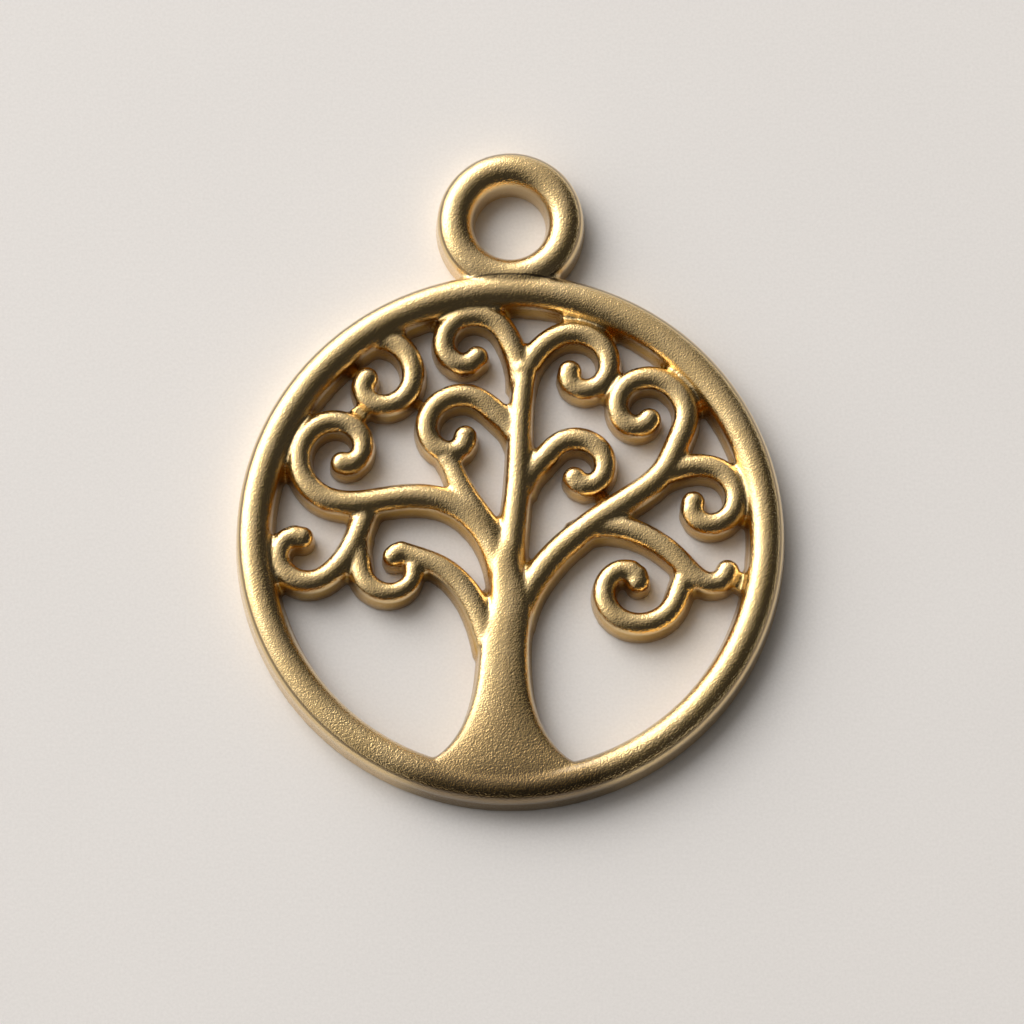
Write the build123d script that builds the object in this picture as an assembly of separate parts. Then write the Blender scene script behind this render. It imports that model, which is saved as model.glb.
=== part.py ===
from build123d import *
import math
import os
from collections import namedtuple

# Tree of life pendant: one casting of a round frame, a tree of scrolling branches and a hanging loop.
# It lies on its flat back in the plane z = 0, with the decorated side up and the loop towards +Y.
# The origin is the middle of the round frame, on the back.

# Driving dimensions in millimetres
frame_radius = 10.0          # outside of the round frame, at the back
frame_height = 1.60          # back to the crest of the frame
frame_half_width = 0.64      # half the width of the frame's rounded top
frame_outer_draft = 0.05     # how far the outside wall leans out, from shoulder to back
frame_inner_draft = 0.14     # the same for the inside wall

branch_height = 1.35         # back to the crest of a branch
branch_half_width = 0.48     # half the width of a branch's rounded top
branch_draft = 0.12          # how far a branch's walls lean out at its root
tip_half_width = 0.42        # half the width of a branch where its curl closes
tip_draft = 0.05             # lean of the walls there
tip_swell = 1.06             # a curl's round end, as a share of the branch's width there
root_sink = 0.10             # how far a branch's crest dips where it starts inside its parent
level_step = 0.03            # each further level of branching has its crest this much lower

trunk_height = 1.42          # back to the crest of the trunk
trunk_shoulder = 0.42        # radius of the rounding along the trunk's edges
trunk_draft = 0.12           # lean of the trunk's walls
trunk_foot_drop = 0.05       # the trunk's foot lies this far below the crest of the frame

loop_height = 1.60           # back to the crest of the hanging loop
loop_half_width = 0.66       # half the width of the loop's rounded top
loop_hole_radius = 1.30      # the hole, at its narrow land
loop_land = 0.45             # height of the straight land in the hole, from the back
loop_draft = 0.08            # how far the hole's wall leans out above the land
loop_outer_draft = 0.05      # lean of the loop's outside wall
loop_overlap = 0.85          # how far the loop's outside reaches into the frame

web_radius = 0.34            # small webs of metal where two branches touch
web_height = 0.95            # back to the top of a web

back_allowance = 0.15        # metal below the back, faced off flat at the end
curl_step = 40.0             # degrees between the points that guide a curl
root_rise = 0.25             # share of a branch's length over which its crest rises from its root
bead_step = 0.22             # distance between the rounds that close a curl
turn_clearance = 1.20        # a curl's swept part turns no tighter than this share of its half width
diagonal = math.sqrt(0.5)    # across and up to the middle of a quarter round, as a share of its radius

# Worked out from the sizes above
frame_crest_radius = frame_radius - frame_outer_draft - frame_half_width
loop_crest_radius = loop_hole_radius + loop_draft + loop_half_width
loop_outer_radius = loop_crest_radius + loop_half_width + loop_outer_draft
loop_centre_y = frame_radius + loop_outer_radius - loop_overlap

# Branches: each starts at its root, passes its bends and closes in a curl about an eye.
# Places and curl radii are shares of the frame's radius, widths are shares of the branch's half width,
# angles are degrees from +X. A curl runs from its first radius and angle through its turn.
# The level counts the steps by which a branch's crest lies lower than the boughs.
Branch = namedtuple("Branch", "name level root bends root_width tip_width "
                    "eye first_radius last_radius first_angle turn")
BRANCHES = (
    Branch("left_bough", 0, (-0.02, -0.245),
           ((-0.032, -0.13), (-0.082, 0.005), (-0.213, 0.128), (-0.40, 0.152), (-0.55, 0.130)),
           1.15, 1.00, (-0.615, 0.320), 0.180, 0.040, -115, -330),
    Branch("left_low_curl", 2, (-0.51, 0.14), ((-0.545, 0.04),),
           1.00, 1.00, (-0.757, -0.045), 0.145, 0.045, -25, -245),
    Branch("left_cup", 3, (-0.545, 0.03), ((-0.557, -0.02),),
           1.05, 0.80, (-0.418, -0.108), 0.135, 0.068, 168, 182),
    Branch("left_spur", 1, (-0.07, -0.42),
           ((-0.093, -0.335), (-0.147, -0.218), (-0.245, -0.115), (-0.33, -0.075)),
           1.20, 0.92, (-0.395, -0.105), 0.052, 0.045, 90, 40),
    Branch("left_strut", 3, (-0.040, -0.015), ((-0.078, 0.040), (-0.176, 0.188)),
           1.00, 1.00, (-0.226, 0.290), 0.005, 0.003, 0, 90),
    Branch("left_rim_curl", 1, (-0.66, 0.655), ((-0.56, 0.74),),
           1.00, 1.00, (-0.485, 0.590), 0.160, 0.040, 70, -265),
    Branch("left_mid_curl", 2, (0.03, 0.36), ((-0.01, 0.435),),
           1.00, 1.00, (-0.198, 0.393), 0.168, 0.036, 28, 312),
    Branch("left_top_curl", 2, (0.04, 0.56), ((0.025, 0.68), (-0.003, 0.75)),
           1.00, 1.00, (-0.150, 0.717), 0.140, 0.045, 40, 268),
    Branch("leader", 1, (0.00, -0.13), ((0.008, 0.00), (0.026, 0.17), (0.035, 0.40)),
           1.15, 1.00, (0.045, 0.630), 0.010, 0.005, 0, 90),
    Branch("right_top_curl", 3, (0.04, 0.56), ((0.077, 0.675),),
           1.00, 1.00, (0.253, 0.632), 0.163, 0.036, 143, -318),
    Branch("right_mid_curl", 2, (0.04, 0.17), ((0.070, 0.240),),
           1.00, 1.00, (0.258, 0.253), 0.142, 0.038, 159, -290),
    Branch("right_bough", 0, (0.024, -0.32),
           ((0.082, -0.169), (0.217, -0.010), (0.44, 0.150), (0.56, 0.252)),
           1.20, 1.00, (0.482, 0.476), 0.175, 0.040, -42, 350),
    Branch("right_rim_curl", 1, (0.48, 0.18), ((0.58, 0.250),),
           1.00, 1.00, (0.710, 0.130), 0.148, 0.045, 108, -290),
    Branch("right_spur", 2, (0.22, 0.015), ((0.34, 0.045), (0.43, 0.032), (0.53, -0.015), (0.62, -0.092)),
           1.00, 1.00, (0.745, -0.110), 0.065, 0.045, -115, 95),
    Branch("right_low_curl", 3, (0.645, -0.12), (),
           0.95, 1.00, (0.440, -0.181), 0.184, 0.030, 3, -325),
)

# Trunk, from its foot in the frame up to the fork: left and right edges at each height up the charm,
# as shares of the frame's radius, its height as a share of the rise from trunk to foot,
# and the radius of its crown as a multiple of half its width
TrunkRow = namedtuple("TrunkRow", "y left right rise crown")
TRUNK = (
    TrunkRow(-0.960, -0.470, 0.390, 1.0, 12.0),
    TrunkRow(-0.895, -0.400, 0.330, 1.0, 10.0),
    TrunkRow(-0.845, -0.313, 0.240, 1.0, 8.0),
    TrunkRow(-0.800, -0.246, 0.182, 0.9, 6.0),
    TrunkRow(-0.730, -0.190, 0.130, 0.7, 4.0),
    TrunkRow(-0.620, -0.143, 0.087, 0.4, 2.8),
    TrunkRow(-0.480, -0.119, 0.069, 0.2, 2.4),
    TrunkRow(-0.345, -0.104, 0.073, 0.0, 2.2),
    TrunkRow(-0.230, -0.076, 0.080, -0.1, 2.0),
    TrunkRow(-0.130, -0.076, 0.048, -0.2, 1.8),
    TrunkRow(-0.050, -0.070, 0.042, -0.4, 1.6),
    TrunkRow(0.005, -0.060, 0.035, -1.7, 1.6),
)

# Webs where branches touch each other or the frame: places as shares of the frame's radius
Web = namedtuple("Web", "x y")
WEBS = (
    Web(-0.555, 0.463),
    Web(0.225, 0.830),
    Web(0.615, 0.605),
    Web(0.840, -0.165),
)


def on_plan(place):
    """A place in the table, a pair of shares of the frame's radius, as a point on the back."""
    return Vector(place[0] * frame_radius, place[1] * frame_radius, 0)


def relief_face(half_width, height, left_draft, right_draft):
    """Upright section of the relief: a half-round top on two walls that lean out towards the back.

    X runs across the relief and Y is its height. The walls go on below the back, to be faced off.
    """
    shoulder = height - half_width
    deep = 1 + back_allowance / shoulder
    foot_left = (-half_width - left_draft * deep, -back_allowance)
    foot_right = (half_width + right_draft * deep, -back_allowance)
    top_left = (-half_width, shoulder)
    top_right = (half_width, shoulder)
    outline = [
        Line(foot_left, foot_right),
        Line(foot_right, top_right),
        ThreePointArc(top_right, (0, height), top_left),
        Line(top_left, foot_left),
    ]
    return make_face(outline)


def round_end(place, half_width, shoulder, draft):
    """Round button on a place of the plan: a half ball on a wall that leans out towards the back."""
    deep = 1 + back_allowance / shoulder
    crest = (0, shoulder + half_width)
    rim = (half_width, shoulder)
    middle = (half_width * diagonal, shoulder + half_width * diagonal)
    foot = (half_width + draft * deep, -back_allowance)
    outline = [
        ThreePointArc(crest, middle, rim),
        Line(rim, foot),
        Line(foot, (0, -back_allowance)),
        Line((0, -back_allowance), crest),
    ]
    half_section = Plane.XZ * make_face(outline)
    return Pos(place.X, place.Y, 0) * revolve(half_section, Axis.Z)


def curl_place(branch, share):
    """Point of a branch's curl, from its start, share 0, to its tip, share 1."""
    radius = branch.first_radius + (branch.last_radius - branch.first_radius) * share
    angle = math.radians(branch.first_angle + branch.turn * share)
    eye = on_plan(branch.eye)
    return eye + Vector(math.cos(angle), math.sin(angle), 0) * radius * frame_radius


def tip_size(branch):
    """Half the width of a branch where its curl closes."""
    return tip_half_width * branch.tip_width


def smooth_share(branch):
    """Share of the curl that turns wide enough to be swept without folding over its own eye."""
    tightest = (tip_size(branch) + tip_draft) * turn_clearance / frame_radius
    if branch.first_radius <= tightest:
        return 0
    if branch.last_radius >= tightest:
        return 1
    return (branch.first_radius - tightest) / (branch.first_radius - branch.last_radius)


def centre_line(branch):
    """Centre line of a branch on the back, from its root to where its curl has to be closed by rounds."""
    last_share = smooth_share(branch)
    turns = round(abs(branch.turn) * last_share / curl_step)
    points = [on_plan(branch.root)] + [on_plan(bend) for bend in branch.bends] + [curl_place(branch, 0)]
    points += [curl_place(branch, last_share * number / turns) for number in range(1, turns + 1)]
    return Spline(*points)


def branch_section(branch, line, share):
    """Upright section of a branch at a share of the length of its centre line."""
    root_half_width = branch_half_width * branch.root_width
    half_width = root_half_width + (tip_size(branch) - root_half_width) * share
    draft = branch_draft + (tip_draft - branch_draft) * share
    crest = branch_height - level_step * branch.level
    sink = root_sink * max(0, 1 - share / root_rise)
    heading = line % share
    plane = Plane(origin=line @ share, x_dir=Vector(0, 0, 1).cross(heading), z_dir=heading)
    return plane * relief_face(half_width, crest - sink, draft, draft)


def make_branch(branch):
    """One branch: a limb swept along its centre line and the rounds that close its curl."""
    line = centre_line(branch)
    sections = [branch_section(branch, line, share) for share in (0, root_rise, 1)]
    limb = sweep(sections, path=line, multisection=True)

    last_share = smooth_share(branch)
    shoulder = branch_height - level_step * branch.level - tip_size(branch)
    rest = (curl_place(branch, 1) - curl_place(branch, last_share)).length
    steps = round(rest / bead_step)
    for number in range(steps + 1):
        share = 1 - (1 - last_share) * number / max(1, steps)
        limb += round_end(curl_place(branch, share), tip_size(branch) * tip_swell, shoulder, tip_draft)
    return limb


def make_frame():
    """The round frame, one turn of its section."""
    section = Pos(frame_crest_radius, 0) * relief_face(
        frame_half_width, frame_height, frame_inner_draft, frame_outer_draft)
    return revolve(Plane.XZ * section, Axis.Z)


def make_loop():
    """The hanging loop, with a straight land at the back of its hole."""
    shoulder = loop_height - loop_half_width
    inner = loop_crest_radius - loop_half_width
    outer = loop_crest_radius + loop_half_width
    deep = 1 + back_allowance / shoulder
    outline = [
        Line((loop_hole_radius, -back_allowance), (outer + loop_outer_draft * deep, -back_allowance)),
        Line((outer + loop_outer_draft * deep, -back_allowance), (outer, shoulder)),
        ThreePointArc((outer, shoulder), (loop_crest_radius, loop_height), (inner, shoulder)),
        Line((inner, shoulder), (loop_hole_radius, loop_land)),
        Line((loop_hole_radius, loop_land), (loop_hole_radius, -back_allowance)),
    ]
    ring = revolve(Plane.XZ * make_face(outline), Axis.Z)
    return Pos(0, loop_centre_y, 0) * ring


def trunk_section(row):
    """Upright section across the trunk at one row: a crown that runs smoothly into rounded shoulders."""
    height = trunk_height + (frame_height - trunk_foot_drop - trunk_height) * row.rise
    left = row.left * frame_radius
    right = row.right * frame_radius
    half_width = (right - left) / 2
    crown = half_width * row.crown
    slant = math.asin((half_width - trunk_shoulder) / (crown - trunk_shoulder))
    shoulder = height - crown + (crown - trunk_shoulder) * math.cos(slant)
    middle = (math.pi / 2 - slant) / 2

    def on_shoulder(angle):
        inwards = trunk_shoulder * (1 - math.cos(angle))
        return (half_width - inwards, shoulder + trunk_shoulder * math.sin(angle))

    def mirrored(place):
        return (-place[0], place[1])

    deep = 1 + back_allowance / shoulder
    foot = (half_width + trunk_draft * deep, -back_allowance)
    rim = on_shoulder(0)
    bulge = on_shoulder(middle)
    edge = on_shoulder(2 * middle)
    outline = [
        Line(mirrored(foot), foot),
        Line(foot, rim),
        ThreePointArc(rim, bulge, edge),
        ThreePointArc(edge, (0, height), mirrored(edge)),
        ThreePointArc(mirrored(edge), mirrored(bulge), mirrored(rim)),
        Line(mirrored(rim), mirrored(foot)),
    ]
    origin = ((left + right) / 2, row.y * frame_radius, 0)
    plane = Plane(origin=origin, x_dir=(1, 0, 0), z_dir=(0, -1, 0))
    return plane * make_face(outline)


def make_trunk():
    """The crowned trunk, from its foot under the frame's crest to the fork of the boughs."""
    trunk = loft([trunk_section(row) for row in TRUNK])
    return trunk & Cylinder(frame_crest_radius, 2 * (frame_height + back_allowance))


def make_web(web):
    """Small drafted plug that joins two branches where they touch."""
    place = on_plan(web)
    middle = (web_height - back_allowance) / 2
    return Pos(place.X, place.Y, middle) * Cylinder(web_radius, web_height + back_allowance)


def make_charm():
    """The whole casting, faced off flat at its back."""
    charm = make_frame() + make_loop() + make_trunk()
    for branch in BRANCHES:
        charm += make_branch(branch)
    for web in WEBS:
        charm += make_web(web)
    reach = loop_centre_y + loop_outer_radius + back_allowance
    charm -= Pos(0, 0, -reach) * Box(2 * reach, 2 * reach, 2 * reach)
    return charm


os.makedirs("parts", exist_ok=True)
charm = make_charm()
charm.label = "charm"
export_step(charm, "parts/charm.step")
print("charm:", round(charm.volume, 3), "cubic mm")
print("solids:", len(charm.solids()), "faces:", len(charm.faces()))
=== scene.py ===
"""Tree of life pendant: a round openwork charm with a tree of scrolling branches, cast and gold plated.

The charm lies on its flat back on a pale table, with its decorated side up and its hanging loop towards +Y.
The origin is the middle of the round frame, on the back. Sizes are written in millimetres times MM.
"""
import math

import bmesh
import bpy
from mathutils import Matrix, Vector


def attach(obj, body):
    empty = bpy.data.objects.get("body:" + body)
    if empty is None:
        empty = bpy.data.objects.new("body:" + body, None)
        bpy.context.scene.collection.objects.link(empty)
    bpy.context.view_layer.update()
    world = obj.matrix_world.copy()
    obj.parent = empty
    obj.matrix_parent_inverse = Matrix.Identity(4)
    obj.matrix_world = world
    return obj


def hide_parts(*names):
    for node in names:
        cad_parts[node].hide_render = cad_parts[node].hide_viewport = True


bl_info = {
    "name": "Tree of life pendant",
    "version": (1, 0, 0),
    "blender": (4, 5, 0),
    "location": "3D View > Sidebar > Pendant",
    "description": "Builds a gold plated tree of life pendant on a pale table",
    "category": "Object",
}

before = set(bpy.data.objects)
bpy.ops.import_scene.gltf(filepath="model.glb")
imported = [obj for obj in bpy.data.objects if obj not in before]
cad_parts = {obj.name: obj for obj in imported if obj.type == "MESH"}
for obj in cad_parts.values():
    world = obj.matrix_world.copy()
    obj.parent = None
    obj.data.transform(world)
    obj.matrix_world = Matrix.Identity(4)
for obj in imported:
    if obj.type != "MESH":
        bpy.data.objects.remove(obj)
MM = 0.001

# Where the gold's look changes, mostly painted shade and reflections, also its grain: each pair is where a
# change starts and where it ends
PAINTED_WALL_HEIGHTS = (0.15 * MM, 0.60 * MM)       # up a wall, from its painted dark shade at the foot to its painted amber reflection
TOP_HEIGHTS = (0.84 * MM, 1.04 * MM)        # from the walls' painted shade and reflections to the rubbed rounded tops
REFLECTION_LINE_HEIGHTS = (1.00 * MM, 1.20 * MM)       # where the dark edge lines, a painted reflection of the dim horizon, begin to show
REFLECTION_LINE_HALF_WIDTHS = (0.02 * MM, 0.055 * MM)  # from the middle of a painted dark edge line, dark to plain gold
FRAME_RADII = (9.30 * MM, 9.50 * MM)        # from the frame's inner side, with the painted wall shade, to its outer side, with the painted table reflection
LOOP_RADII = (9.85 * MM, 9.95 * MM)         # from the frame to the part of the loop outside it, where the loop's painted edge line shows
LOOP_MIDDLE = (0.0, 11.90 * MM, 0.0)        # middle of the hanging loop
FOOT_GRAIN_AND_SHADE_RISE = (-8.2 * MM, -4.0 * MM)          # up the trunk, from its grainy foot with painted shade to its smoother stem without it
FOOT_SHADE_SPREAD = (2.4 * MM, 4.8 * MM)          # sideways from the trunk's middle line, from painted shade to none
LOWEST_SHADE_RISE = (-9.3 * MM, -8.2 * MM)        # up from the darkest painted shade of the foot

# Stage: the table, how the studio's walls brighten towards the lights, and the lights themselves
TABLE_HALF_WIDTH = 400 * MM
OVERHEAD_RANGE = (-0.15, 0.50)              # share of a direction that faces the glow, dim to high
AROUND_RANGE = (0.45, 0.90)                 # the same, high to the full glow
LIGHT_DISTANCE = 450 * MM
KEY_SIZE = (620 * MM, 320 * MM)
FLOOR_LIGHT_SIZE = (330 * MM, 330 * MM)
LIGHT_COLOUR = (1.0, 0.98, 0.95)
STUDIO_COLOUR = (1.0, 0.94, 0.87, 1.0)
VIEW_MIDDLE = (0.06 * MM, 1.22 * MM, 0.0)


# Sizes and colours

class CastingSizes(bpy.types.PropertyGroup):
    """Sizes of the casting's softened surface."""
    grid: bpy.props.FloatProperty(
        name="Grid", description="Spacing of the mesh over the casting",
        default=0.065 * MM, min=0.05 * MM, unit="LENGTH", precision=6)
    fillet: bpy.props.FloatProperty(
        name="Fillet", description="Radius of the metal that fills the creases where branches meet",
        default=0.015 * MM, min=0.0, unit="LENGTH", precision=6)
    soften: bpy.props.IntProperty(
        name="Soften", description="Passes that ease the edges as polishing and plating do",
        default=6, min=0, max=30)
    keep: bpy.props.FloatProperty(
        name="Keep", description="Share of the mesh's triangles that stays where the surface is even",
        default=0.37, min=0.05, max=1.0)


class GoldLook(bpy.types.PropertyGroup):
    """Colours and grain of the satin gold plating, with painted shade and reflection colours for its walls,
    outer side, edge lines and trunk foot.
    """
    colour: bpy.props.FloatVectorProperty(
        name="Gold", description="Colour of the plating where it is clean and rubbed",
        subtype="COLOR", size=3, min=0.0, max=1.0, default=(0.79, 0.575, 0.26))
    # Painted reflection: the amber of gold mirrored in gold on the upper walls, painted into the colour
    amber_reflection_colour: bpy.props.FloatVectorProperty(
        name="Deep gold", description="Amber colour of the plating just below the rounded tops",
        subtype="COLOR", size=3, min=0.0, max=1.0, default=(0.62, 0.35, 0.035))
    # Painted shade: the brown of the shaded table mirrored at the foot of the walls, painted into the colour
    wall_foot_shade_colour: bpy.props.FloatVectorProperty(
        name="Low gold", description="Dull brown colour of the plating at the foot of the walls",
        subtype="COLOR", size=3, min=0.0, max=1.0, default=(0.44, 0.28, 0.12))
    # Painted reflection: the pale table mirrored in the outer wall of the frame and loop, painted into the
    # colour
    table_reflection_colour: bpy.props.FloatVectorProperty(
        name="Outer side", description="Pale gold of the outside of the frame and loop",
        subtype="COLOR", size=3, min=0.0, max=1.0, default=(0.78, 0.58, 0.32))
    rubbed_colour: bpy.props.FloatVectorProperty(
        name="Rubbed gold", description="Paler gold in patches where the plating is rubbed",
        subtype="COLOR", size=3, min=0.0, max=1.0, default=(0.84, 0.66, 0.38))
    # Painted shade: the trunk's foot painted darker, standing in for weaker light there
    foot_shade_colour: bpy.props.FloatVectorProperty(
        name="Foot gold", description="Duller gold at the trunk's foot",
        subtype="COLOR", size=3, min=0.0, max=1.0, default=(0.33, 0.225, 0.09))
    # Painted shade: the darkest shade, painted where the trunk's foot meets the frame
    lowest_shade_colour: bpy.props.FloatVectorProperty(
        name="Lowest gold", description="Dark gold where the trunk's foot meets the frame",
        subtype="COLOR", size=3, min=0.0, max=1.0, default=(0.16, 0.10, 0.035))
    # Painted reflection: the dim horizon mirrored along the frame's and loop's outer edge, painted as dark
    # lines
    reflection_line_colour: bpy.props.FloatVectorProperty(
        name="Line colour", description="Dark brown of the lines along the frame's and loop's edge",
        subtype="COLOR", size=3, min=0.0, max=1.0, default=(0.10, 0.06, 0.02))
    reflection_line_radius: bpy.props.FloatProperty(
        name="Edge line", description="Radius of the dark line along the frame's outer edge",
        default=9.81 * MM, min=0.0, unit="LENGTH", precision=6)
    loop_reflection_line_radius: bpy.props.FloatProperty(
        name="Loop edge line", description="Radius of the same line around the hanging loop",
        default=2.56 * MM, min=0.0, unit="LENGTH", precision=6)
    roughness: bpy.props.FloatProperty(
        name="Roughness", description="Roughness of the satin surface",
        default=0.17, min=0.0, max=1.0)
    grain: bpy.props.FloatProperty(
        name="Grain", description="Width of the cast surface's pebbles",
        default=0.058 * MM, min=0.01 * MM, unit="LENGTH", precision=6)
    grain_depth: bpy.props.FloatProperty(
        name="Grain depth", description="Height of the pebbles",
        default=0.021 * MM, min=0.0, unit="LENGTH", precision=6)


class StageLook(bpy.types.PropertyGroup):
    """Table, light and camera."""
    table_colour: bpy.props.FloatVectorProperty(
        name="Table", description="Colour of the pale table",
        subtype="COLOR", size=3, min=0.0, max=1.0, default=(0.85, 0.838, 0.836))
    light_azimuth: bpy.props.FloatProperty(
        name="Light azimuth", description="Where the lights stand, turned from +X towards +Y",
        default=math.radians(136.0), subtype="ANGLE")
    key_height: bpy.props.FloatProperty(
        name="Key height", description="Angle of the light that the gold mirrors above the table",
        default=math.radians(25.0), min=0.0, max=math.radians(90.0), subtype="ANGLE")
    key_power: bpy.props.FloatProperty(
        name="Key light", description="Power of the wide soft light that the gold mirrors",
        default=1.5, min=0.0, unit="POWER")
    floor_height: bpy.props.FloatProperty(
        name="Floor light height", description="Angle of the light that falls on the table",
        default=math.radians(48.0), min=0.0, max=math.radians(90.0), subtype="ANGLE")
    floor_power: bpy.props.FloatProperty(
        name="Floor light", description="Power of the soft light that falls on the table",
        default=1.19, min=0.0, unit="POWER")
    glow_azimuth: bpy.props.FloatProperty(
        name="Glow azimuth", description="Where the studio's walls are brightest, turned from +X towards +Y",
        default=math.radians(142.0), subtype="ANGLE")
    glow_height: bpy.props.FloatProperty(
        name="Glow height", description="Angle of the brightest part of the studio's walls above the table",
        default=math.radians(8.0), min=0.0, max=math.radians(90.0), subtype="ANGLE")
    fill_light: bpy.props.FloatProperty(
        name="Fill light", description="Brightness of the studio around the key light", default=1.9, min=0.0)
    high_light: bpy.props.FloatProperty(
        name="High light", description="Brightness of the studio overhead", default=0.62, min=0.0)
    dim_light: bpy.props.FloatProperty(
        name="Dim light", description="Brightness of the studio on the far side", default=0.045, min=0.0)
    tilt: bpy.props.FloatProperty(
        name="Camera height", description="Angle of the camera above the table",
        default=math.radians(75.0), min=0.0, max=math.radians(90.0), subtype="ANGLE")
    view_width: bpy.props.FloatProperty(
        name="View width", description="Width of the view at the charm",
        default=37.33 * MM, min=1 * MM, unit="LENGTH", precision=6)
    distance: bpy.props.FloatProperty(
        name="Camera distance", description="Distance from the camera to the charm",
        default=300 * MM, min=10 * MM, unit="LENGTH")


# Materials

class Signal:
    """A shader socket that can be used in sums and products; each one adds a Math node."""

    def __init__(self, finish, socket):
        self.finish = finish
        self.socket = socket

    def _maths(self, operation, *values):
        return self.finish.add("ShaderNodeMath", {"operation": operation}, dict(enumerate(values)))

    def __abs__(self):
        return self._maths("ABSOLUTE", self)

    def __add__(self, other):
        return self._maths("ADD", self, other)

    def __radd__(self, other):
        return self._maths("ADD", other, self)

    def __sub__(self, other):
        return self._maths("SUBTRACT", self, other)

    def __rsub__(self, other):
        return self._maths("SUBTRACT", other, self)

    def __mul__(self, other):
        return self._maths("MULTIPLY", self, other)

    def __rmul__(self, other):
        return self._maths("MULTIPLY", other, self)


class Finish:
    """The nodes of a material or of the studio's light, added one at a time: type, settings, then inputs."""

    def __init__(self, owner):
        owner.use_nodes = True
        self.owner = owner
        self.tree = owner.node_tree
        self.tree.nodes.clear()

    def add(self, kind, settings=None, inputs=None, output=0):
        node = self.tree.nodes.new(kind)
        for name, value in (settings or {}).items():
            setattr(node, name, value)
        for name, value in (inputs or {}).items():
            if isinstance(value, Signal):
                self.tree.links.new(value.socket, node.inputs[name])
            else:
                node.inputs[name].default_value = value
        return Signal(self, node.outputs[output]) if node.outputs else None

    def axes(self, vector):
        """The X, Y and Z of a vector."""
        inputs = {"Vector": vector}
        return [self.add("ShaderNodeSeparateXYZ", inputs=inputs, output=axis) for axis in range(3)]

    def noise(self, place, scale, detail, roughness, distortion=0.0):
        """Cloudy pattern from 0 to 1 over a place."""
        return self.add(
            "ShaderNodeTexNoise", {"noise_dimensions": "3D"},
            {"Vector": place, "Scale": scale, "Detail": detail, "Roughness": roughness,
             "Distortion": distortion})

    def blend(self, share, first, second):
        """Colour that goes from the first to the second as the share goes from 0 to 1."""
        colours = [value if isinstance(value, Signal) else (*value, 1.0) for value in (first, second)]
        return self.add(
            "ShaderNodeMix", {"data_type": "RGBA"}, {0: share, 6: colours[0], 7: colours[1]}, output=2)

    def ease(self, value, low, high):
        """Share that eases from 0 to 1 as the value goes from low to high."""
        return self.add(
            "ShaderNodeMapRange", {"interpolation_type": "SMOOTHSTEP"},
            {"Value": value, "From Min": low, "From Max": high})


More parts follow.
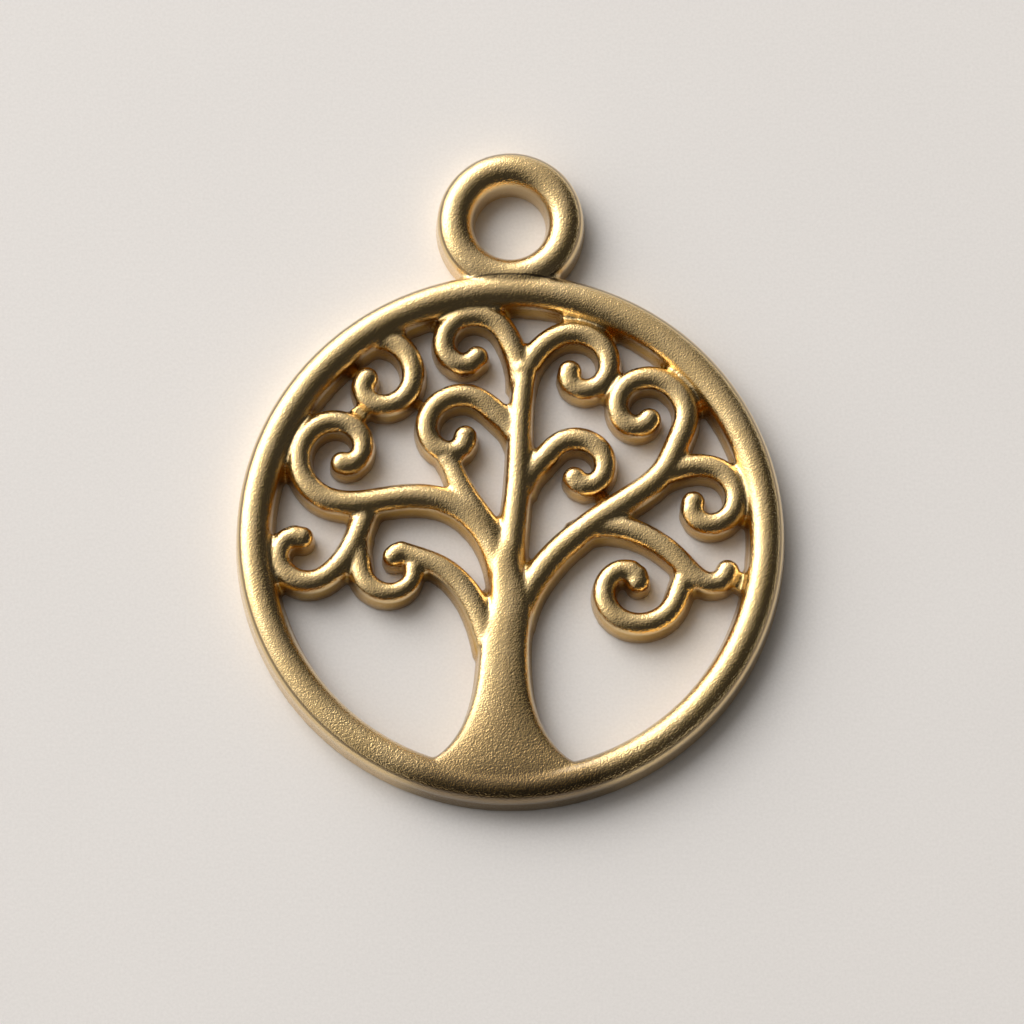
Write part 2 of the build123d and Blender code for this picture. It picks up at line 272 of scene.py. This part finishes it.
def satin_gold(look):
    """Satin gold plating over a cast surface: pebbled grain and soft wear, with painted shade and
    reflections: amber and brown walls, a pale outer side, dark edge lines and a darker trunk foot.
    """
    gold = Finish(bpy.data.materials.new("satin_gold"))
    place = gold.add("ShaderNodeTexCoord", output=3)
    sideways, along, height = gold.axes(place)
    flat_place = gold.add("ShaderNodeVectorMath", {"operation": "MULTIPLY"}, {0: place, 1: (1.0, 1.0, 0.0)})
    radius = gold.add("ShaderNodeVectorMath", {"operation": "LENGTH"}, {0: flat_place}, output=1)
    from_loop = gold.add(
        "ShaderNodeVectorMath", {"operation": "DISTANCE"}, {0: flat_place, 1: LOOP_MIDDLE}, output=1)

    pebbles = gold.noise(place, 1 / look.grain, 1.2, 0.5, 0.25)
    pits = gold.add(
        "ShaderNodeTexVoronoi", {"feature": "SMOOTH_F1"},
        {"Vector": place, "Scale": 0.55 / look.grain, "Smoothness": 0.6})
    waves = gold.noise(place, 0.15 / look.grain, 1.5, 0.5)
    tarnish = gold.noise(place, 0.05 / look.grain, 3.0, 0.6)

    # foot drives both the coarser grain and the painted shade of the trunk's foot
    foot = 1 - gold.ease(along, *FOOT_GRAIN_AND_SHADE_RISE)
    relief = (pebbles * 0.80 + pits * 0.25) * (1 + foot * 0.6) + waves * 0.30
    normal = gold.add(
        "ShaderNodeBump", inputs={"Strength": 1.0, "Distance": look.grain_depth, "Height": relief})

    # Painted reflection: dark lines along the frame's and loop's edges where the dim horizon is mirrored
    ring_reflection_line = 1 - gold.ease(abs(radius - look.reflection_line_radius), *REFLECTION_LINE_HALF_WIDTHS)
    loop_reflection_line = 1 - gold.ease(abs(from_loop - look.loop_reflection_line_radius), *REFLECTION_LINE_HALF_WIDTHS)
    painted_reflection_line = (ring_reflection_line + loop_reflection_line * gold.ease(radius, *LOOP_RADII)) * gold.ease(height, *REFLECTION_LINE_HEIGHTS)
    # Painted shade and reflection up the walls: brown at the foot, amber higher up
    wall = gold.blend(gold.ease(height, *PAINTED_WALL_HEIGHTS), look.wall_foot_shade_colour, look.amber_reflection_colour)
    # Painted reflection of the pale table on the outer walls of the frame and loop
    side = gold.blend(1 - gold.ease(radius, *FRAME_RADII), look.table_reflection_colour, wall)
    raised = gold.ease(height, *TOP_HEIGHTS)
    # Painted shade and reflections below the rounded tops, plain gold on them
    clean = gold.blend(raised, side, look.colour)
    rubbed = gold.ease(tarnish, 0.35, 0.75)
    # Rubbed patches of wear over the gold and over the painted shade and reflections of its walls
    plated = gold.blend(rubbed * 0.35, clean, look.rubbed_colour)
    # Painted shade on the trunk's foot, fading up the trunk and out to the sides, darkest where it meets the
    # frame
    foot_shade = foot * (1 - gold.ease(abs(sideways), *FOOT_SHADE_SPREAD))
    with_foot_shade = gold.blend(foot_shade * 0.85, plated, look.foot_shade_colour)
    lowest_shade = foot_shade * (1 - gold.ease(along, *LOWEST_SHADE_RISE))
    darkened = gold.blend(lowest_shade * 0.7, with_foot_shade, look.lowest_shade_colour)
    # The painted dark reflection lines go over every other colour
    colour = gold.blend(painted_reflection_line * 0.75, darkened, look.reflection_line_colour)
    rough = look.roughness + (pebbles - 0.5) * 0.12 + (tarnish - 0.5) * 0.08

    surface = gold.add(
        "ShaderNodeBsdfPrincipled", {},
        {"Base Color": colour, "Metallic": 1.0, "Roughness": rough, "Normal": normal,
         "Coat Weight": raised * 0.9, "Coat Roughness": 0.20, "Coat IOR": 1.6})
    gold.add("ShaderNodeOutputMaterial", {}, {"Surface": surface})
    return gold.owner


def pale_table(look):
    """Matt pale table with a faint paper grain."""
    table = Finish(bpy.data.materials.new("pale_table"))
    place = table.add("ShaderNodeTexCoord", output=3)
    fibres = table.noise(place, 9000.0, 4.0, 0.6)
    clouds = table.noise(place, 90.0, 2.0, 0.5)
    darker = [0.88 * part for part in look.table_colour]
    lighter = [min(1.0, 1.10 * part) for part in look.table_colour]
    colour = table.blend(0.8 * fibres + 0.2 * clouds, darker, lighter)
    normal = table.add("ShaderNodeBump", inputs={"Strength": 0.5, "Distance": 0.01 * MM, "Height": fibres})
    surface = table.add(
        "ShaderNodeBsdfPrincipled", {},
        {"Base Color": colour, "Roughness": 0.85, "Normal": normal})
    table.add("ShaderNodeOutputMaterial", {}, {"Surface": surface})
    return table.owner


def studio_light(look):
    """Soft light from all round: bright on the key light's side, dim on the far side."""
    studio = Finish(bpy.data.worlds.new("studio"))
    direction = studio.add("ShaderNodeTexCoord", output=0)
    towards = towards_light(look.glow_azimuth, look.glow_height)
    facing = studio.add(
        "ShaderNodeVectorMath", {"operation": "DOT_PRODUCT"}, {0: direction, 1: towards}, output=1)
    overhead = studio.ease(facing, *OVERHEAD_RANGE)
    around = studio.ease(facing, *AROUND_RANGE)
    strength = (look.dim_light + overhead * (look.high_light - look.dim_light)
                + around * (look.fill_light - look.high_light))
    light = studio.add("ShaderNodeBackground", inputs={"Color": STUDIO_COLOUR, "Strength": strength})
    studio.add("ShaderNodeOutputWorld", inputs={"Surface": light})
    return studio.owner


# Meshes

def linked_object(name, data):
    """Object at the origin that holds a mesh, a lamp or a lens."""
    made = bpy.data.objects.new(name, data)
    bpy.context.scene.collection.objects.link(made)
    return made


def merged_copy(node):
    """A node's mesh with its loose triangles joined into one skin."""
    skin = bmesh.new()
    skin.from_mesh(node.data)
    bmesh.ops.remove_doubles(skin, verts=skin.verts, dist=0.0005 * MM)
    mesh = bpy.data.meshes.new("casting_skin")
    skin.to_mesh(mesh)
    skin.free()
    return mesh


def settle_modifiers(piece):
    """Works the piece's modifiers into its mesh."""
    graph = bpy.context.evaluated_depsgraph_get()
    mesh = bpy.data.meshes.new_from_object(piece.evaluated_get(graph))
    piece.modifiers.clear()
    piece.data = mesh


def regrid(piece, spacing):
    """Meshes the piece anew with even faces."""
    step = piece.modifiers.new("regrid", "REMESH")
    step.mode = "VOXEL"
    step.voxel_size = spacing


def offset(piece, distance):
    """Grows the piece, or shrinks it where the distance is negative."""
    step = piece.modifiers.new("offset", "DISPLACE")
    step.direction = "NORMAL"
    step.mid_level = 0.0
    step.strength = distance


def ease_surface(piece, passes):
    """Eases the piece's edges and creases."""
    step = piece.modifiers.new("ease", "SMOOTH")
    step.factor = 0.5
    step.iterations = passes


def thin_out(piece, share):
    """Joins triangles where the surface is even."""
    step = piece.modifiers.new("thin_out", "DECIMATE")
    step.ratio = share


def flatten_back(piece):
    """Keeps the back in the plane on which the charm lies."""
    for vertex in piece.data.vertices:
        vertex.co.z = max(vertex.co.z, 0.0)


class PENDANT_OT_casting(bpy.types.Operator):
    """Builds the casting: the ring, tree and loop as one softened, gold plated piece"""
    bl_idname = "pendant.casting"
    bl_label = "Casting"

    def execute(self, context):
        sizes = context.scene.pendant_casting
        casting = linked_object("gilt_casting", merged_copy(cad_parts["charm"]))
        regrid(casting, sizes.grid)
        offset(casting, sizes.fillet)
        regrid(casting, sizes.grid)
        offset(casting, -sizes.fillet)
        ease_surface(casting, sizes.soften)
        thin_out(casting, sizes.keep)
        settle_modifiers(casting)
        flatten_back(casting)
        casting.data.shade_smooth()
        casting.data.materials.clear()
        casting.data.materials.append(satin_gold(context.scene.pendant_gold))
        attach(casting, "root")
        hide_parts("charm")
        return {"FINISHED"}


# Stage

def towards_light(azimuth, height):
    """Direction from the charm to a light."""
    return Vector((
        math.cos(azimuth) * math.cos(height), math.sin(azimuth) * math.cos(height), math.sin(height)))


def soft_light(name, aim, size, power, mirrored):
    """An oblong soft light, either mirrored in the gold or falling on the matt table."""
    lamp = bpy.data.lights.new(name, "AREA")
    lamp.shape = "RECTANGLE"
    lamp.size, lamp.size_y = size
    lamp.energy = power
    lamp.color = LIGHT_COLOUR
    light = linked_object(name, lamp)
    light.location = aim * LIGHT_DISTANCE
    light.rotation_euler = (-aim).to_track_quat("-Z", "Y").to_euler()
    light.visible_glossy = mirrored
    light.visible_diffuse = not mirrored


def set_camera(scene, look):
    """The camera, high over the charm and tipped back towards its foot."""
    lens = bpy.data.cameras.new("camera")
    lens.sensor_width = 36.0
    lens.lens = lens.sensor_width * look.distance / look.view_width
    lens.clip_start = 10 * MM
    lens.clip_end = 5.0
    camera = linked_object("camera", lens)
    back = Vector((0.0, -math.cos(look.tilt), math.sin(look.tilt)))
    camera.location = Vector(VIEW_MIDDLE) + back * look.distance
    camera.rotation_euler = (-back).to_track_quat("-Z", "Y").to_euler()
    scene.camera = camera


class PENDANT_OT_stage(bpy.types.Operator):
    """Lays the pale table and sets the soft light and the camera"""
    bl_idname = "pendant.stage"
    bl_label = "Stage"

    def execute(self, context):
        look = context.scene.pendant_stage
        sheet = bmesh.new()
        bmesh.ops.create_grid(sheet, x_segments=1, y_segments=1, size=TABLE_HALF_WIDTH)
        mesh = bpy.data.meshes.new("table")
        sheet.to_mesh(mesh)
        sheet.free()
        table = linked_object("table", mesh)
        mesh.materials.append(pale_table(look))

        key_aim = towards_light(look.light_azimuth, look.key_height)
        floor_aim = towards_light(look.light_azimuth, look.floor_height)
        soft_light("key_light", key_aim, KEY_SIZE, look.key_power, mirrored=True)
        soft_light("floor_light", floor_aim, FLOOR_LIGHT_SIZE, look.floor_power, mirrored=False)
        context.scene.world = studio_light(look)
        set_camera(context.scene, look)
        context.scene.view_settings.view_transform = "Standard"
        return {"FINISHED"}


class PENDANT_PT_panel(bpy.types.Panel):
    """Sizes, colours and building steps of the pendant"""
    bl_label = "Tree of life pendant"
    bl_idname = "PENDANT_PT_panel"
    bl_space_type = "VIEW_3D"
    bl_region_type = "UI"
    bl_category = "Pendant"

    def draw(self, context):
        scene = context.scene
        for group in (scene.pendant_casting, scene.pendant_gold, scene.pendant_stage):
            box = self.layout.box()
            for name in group.bl_rna.properties.keys():
                if name not in {"rna_type", "name"}:
                    box.prop(group, name)
        for step in STEPS:
            self.layout.operator(step.bl_idname)


STEPS = (PENDANT_OT_casting, PENDANT_OT_stage)
GROUPS = (CastingSizes, GoldLook, StageLook)


def register():
    for kind in GROUPS + STEPS + (PENDANT_PT_panel,):
        bpy.utils.register_class(kind)
    bpy.types.Scene.pendant_casting = bpy.props.PointerProperty(type=CastingSizes)
    bpy.types.Scene.pendant_gold = bpy.props.PointerProperty(type=GoldLook)
    bpy.types.Scene.pendant_stage = bpy.props.PointerProperty(type=StageLook)


def unregister():
    del bpy.types.Scene.pendant_stage
    del bpy.types.Scene.pendant_gold
    del bpy.types.Scene.pendant_casting
    for kind in reversed(GROUPS + STEPS + (PENDANT_PT_panel,)):
        bpy.utils.unregister_class(kind)


def main():
    """Builds the pendant on its stage."""
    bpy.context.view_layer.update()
    register()
    bpy.ops.pendant.casting()
    bpy.ops.pendant.stage()


if __name__ == "__main__":
    main()
